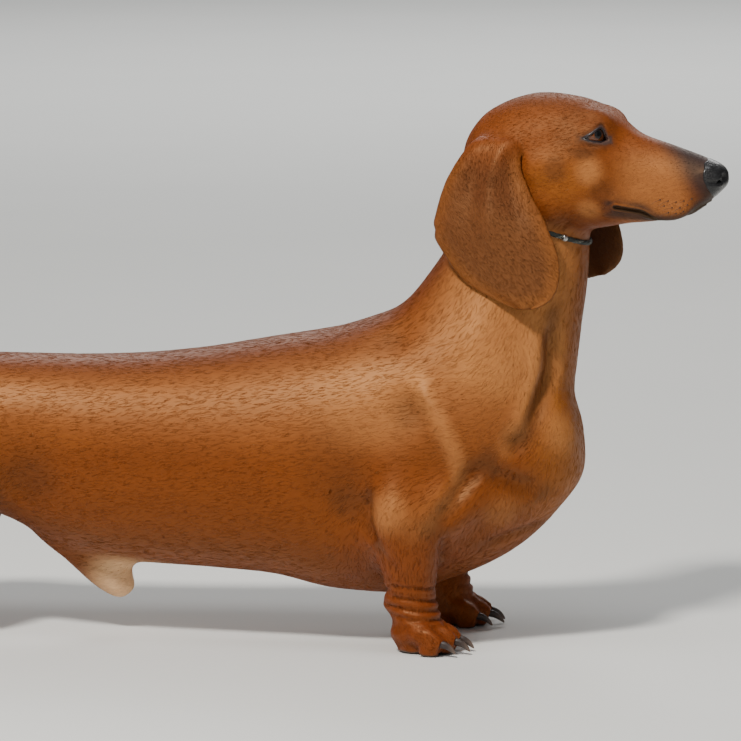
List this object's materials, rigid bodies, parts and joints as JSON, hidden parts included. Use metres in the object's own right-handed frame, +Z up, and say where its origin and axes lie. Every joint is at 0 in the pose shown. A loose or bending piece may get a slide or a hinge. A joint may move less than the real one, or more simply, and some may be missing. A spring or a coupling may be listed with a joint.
{
  "type": "dachshund figure",
  "caption": "Life-size figure of a standing smooth-haired dachshund with a long low body, drop ears and a thin cord collar.",
  "frame": {"origin": "centre of the overall box on the floor, between the paws", "axes": "+X towards the nose, +Y to the dog's left, +Z up"},
  "size_m": [0.8198, 0.1571, 0.3701],
  "materials": {
    "red_coat": "short glossy red-brown fur",
    "ear_coat": "short dark red-brown fur",
    "nose_leather": "moist black leather",
    "claw": "dark horn",
    "eye": "wet dark brown",
    "cord": "black-green braided cord"
  },
  "bodies": {
    "root": {"torso": "red_coat", "neck": "red_coat", "head": "red_coat", "nose": "nose_leather", "tail": "red_coat", "collar": "cord", "ear_right": "ear_coat", "eye_right": "eye", "foreleg_right": "red_coat", "hindleg_right": "red_coat", "forepaw_right": "red_coat", "hindpaw_right": "red_coat", "forepaw_right_claw_1": "claw", "forepaw_right_claw_2": "claw", "forepaw_right_claw_3": "claw", "forepaw_right_claw_4": "claw", "hindpaw_right_claw_1": "claw", "hindpaw_right_claw_2": "claw", "hindpaw_right_claw_3": "claw", "hindpaw_right_claw_4": "claw", "ear_left": "ear_coat", "eye_left": "eye", "foreleg_left": "red_coat", "hindleg_left": "red_coat", "forepaw_left": "red_coat", "hindpaw_left": "red_coat", "forepaw_left_claw_1": "claw", "forepaw_left_claw_2": "claw", "forepaw_left_claw_3": "claw", "forepaw_left_claw_4": "claw", "hindpaw_left_claw_1": "claw", "hindpaw_left_claw_2": "claw", "hindpaw_left_claw_3": "claw", "hindpaw_left_claw_4": "claw"}
  },
  "joints": []
}
